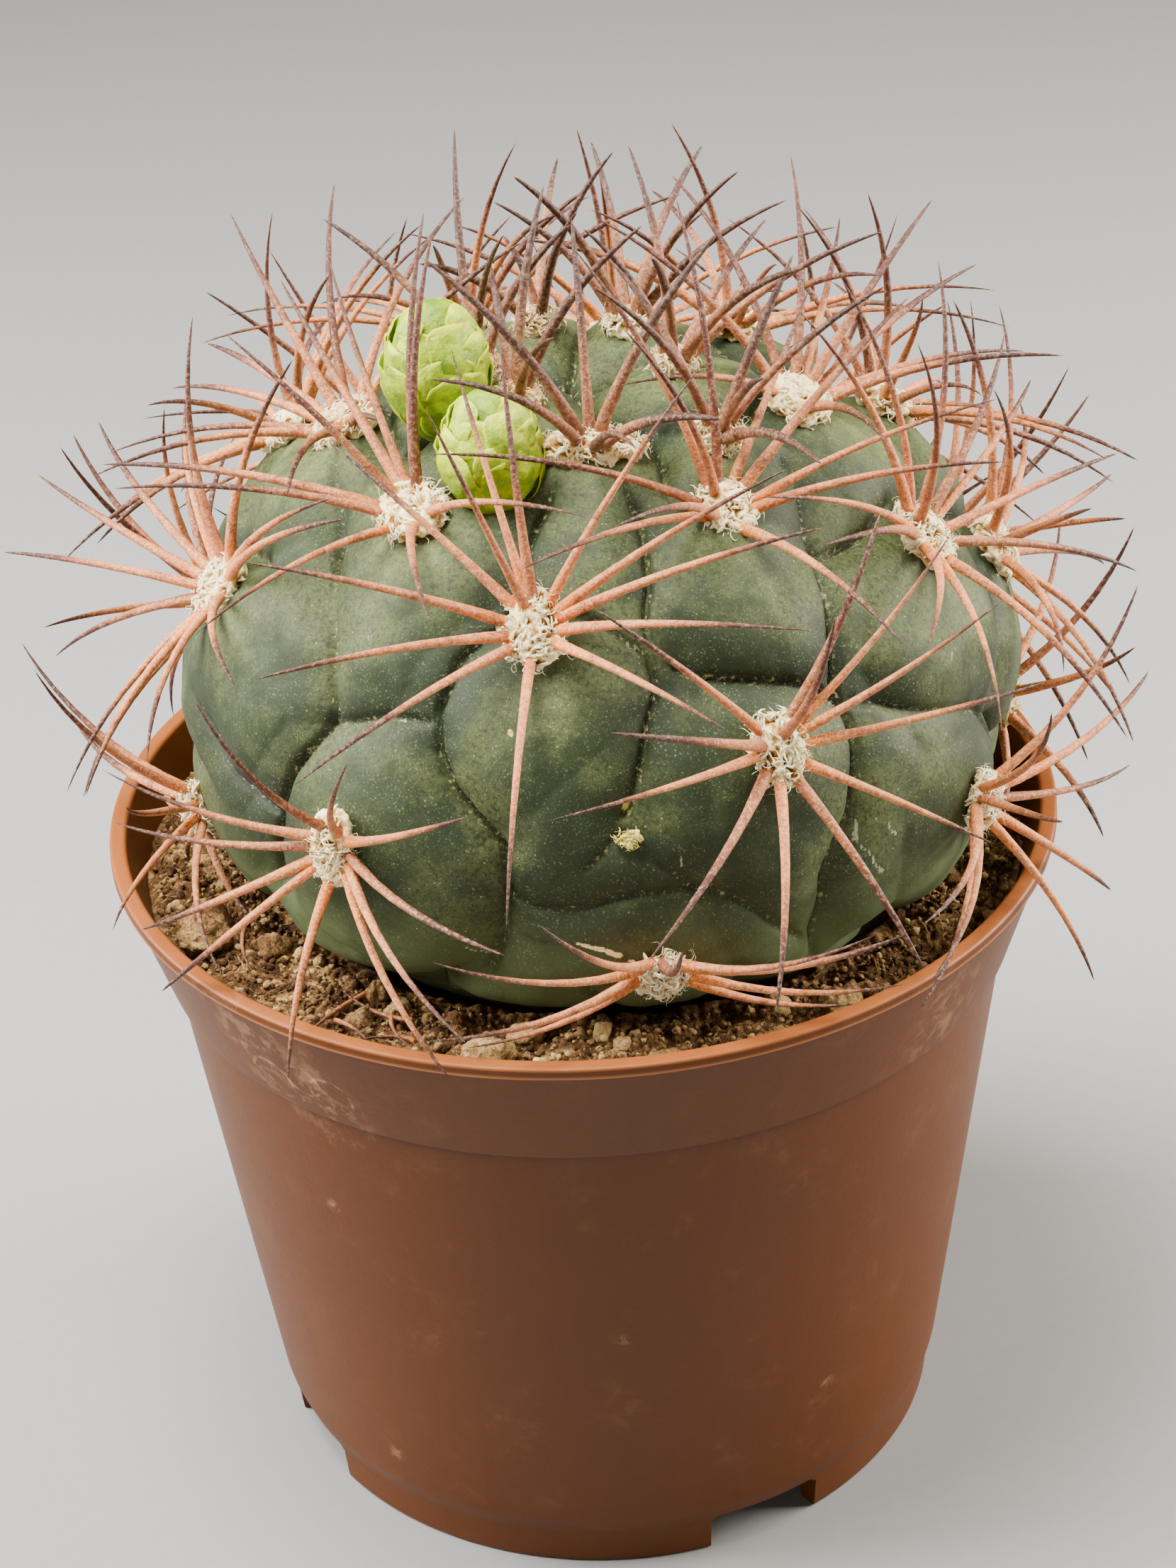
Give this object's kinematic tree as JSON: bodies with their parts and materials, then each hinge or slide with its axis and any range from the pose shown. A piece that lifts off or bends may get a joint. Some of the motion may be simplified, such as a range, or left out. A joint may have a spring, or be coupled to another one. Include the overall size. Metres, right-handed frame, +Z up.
{
  "type": "potted round cactus",
  "caption": "Flattened globe cactus with ribs of rounded tubercles, long curved spines and two flower buds, rooted in soil in a tapered plastic nursery pot.",
  "frame": {"origin": "on the pot's axis, on the surface that its foot ring stands on; the centre of the whole object's box lies within 1 mm of that axis", "axes": "+Z up the pot's axis; -Y is the front, the side with the two buds that faces the camera; +X is the camera's right"},
  "size_m": [0.1397, 0.1421, 0.1736],
  "materials": {
    "terracotta_plastic": "satin moulded plastic, scuffed",
    "soil_mix": "crumbly mineral soil",
    "cactus_skin": "matt grey-green skin with a pale bloom",
    "bud_scales": "smooth yellow-green scales",
    "grit": "rough stone",
    "spines": "salmon pink with dark tips, finely granular",
    "young_spines": "dark brown, finely granular",
    "wool": "cream felted wool"
  },
  "bodies": {
    "root": {"pot": "terracotta_plastic", "soil": "soil_mix", "stem": "cactus_skin", "flower_bud_front": "bud_scales", "flower_bud_back": "bud_scales", "grit_front_left": "grit", "grit_front_right": "grit", "grit_front_small": "grit", "grit_left": "grit", "grit_back": "grit", "areole_01": "spines", "areole_02": "spines", "areole_03": "spines", "areole_04": "spines", "areole_05": "spines", "areole_06": "spines", "areole_07": "spines", "areole_08": "spines", "areole_09": "spines", "areole_10": "spines", "areole_11": "spines", "areole_12": "spines", "areole_13": "spines", "areole_14": "spines", "areole_15": "spines", "areole_16": "spines", "areole_17": "spines", "areole_18": "spines", "areole_19": "spines", "areole_20": "spines", "areole_21": "spines", "areole_22": "spines", "areole_23": "spines", "areole_24": "spines", "areole_25": "spines", "areole_26": "spines", "young_areole_1": "young_spines", "young_areole_2": "young_spines", "young_areole_3": "young_spines", "young_areole_4": "young_spines", "young_areole_5": "young_spines", "young_areole_6": "young_spines", "young_areole_7": "young_spines"}
  },
  "joints": []
}
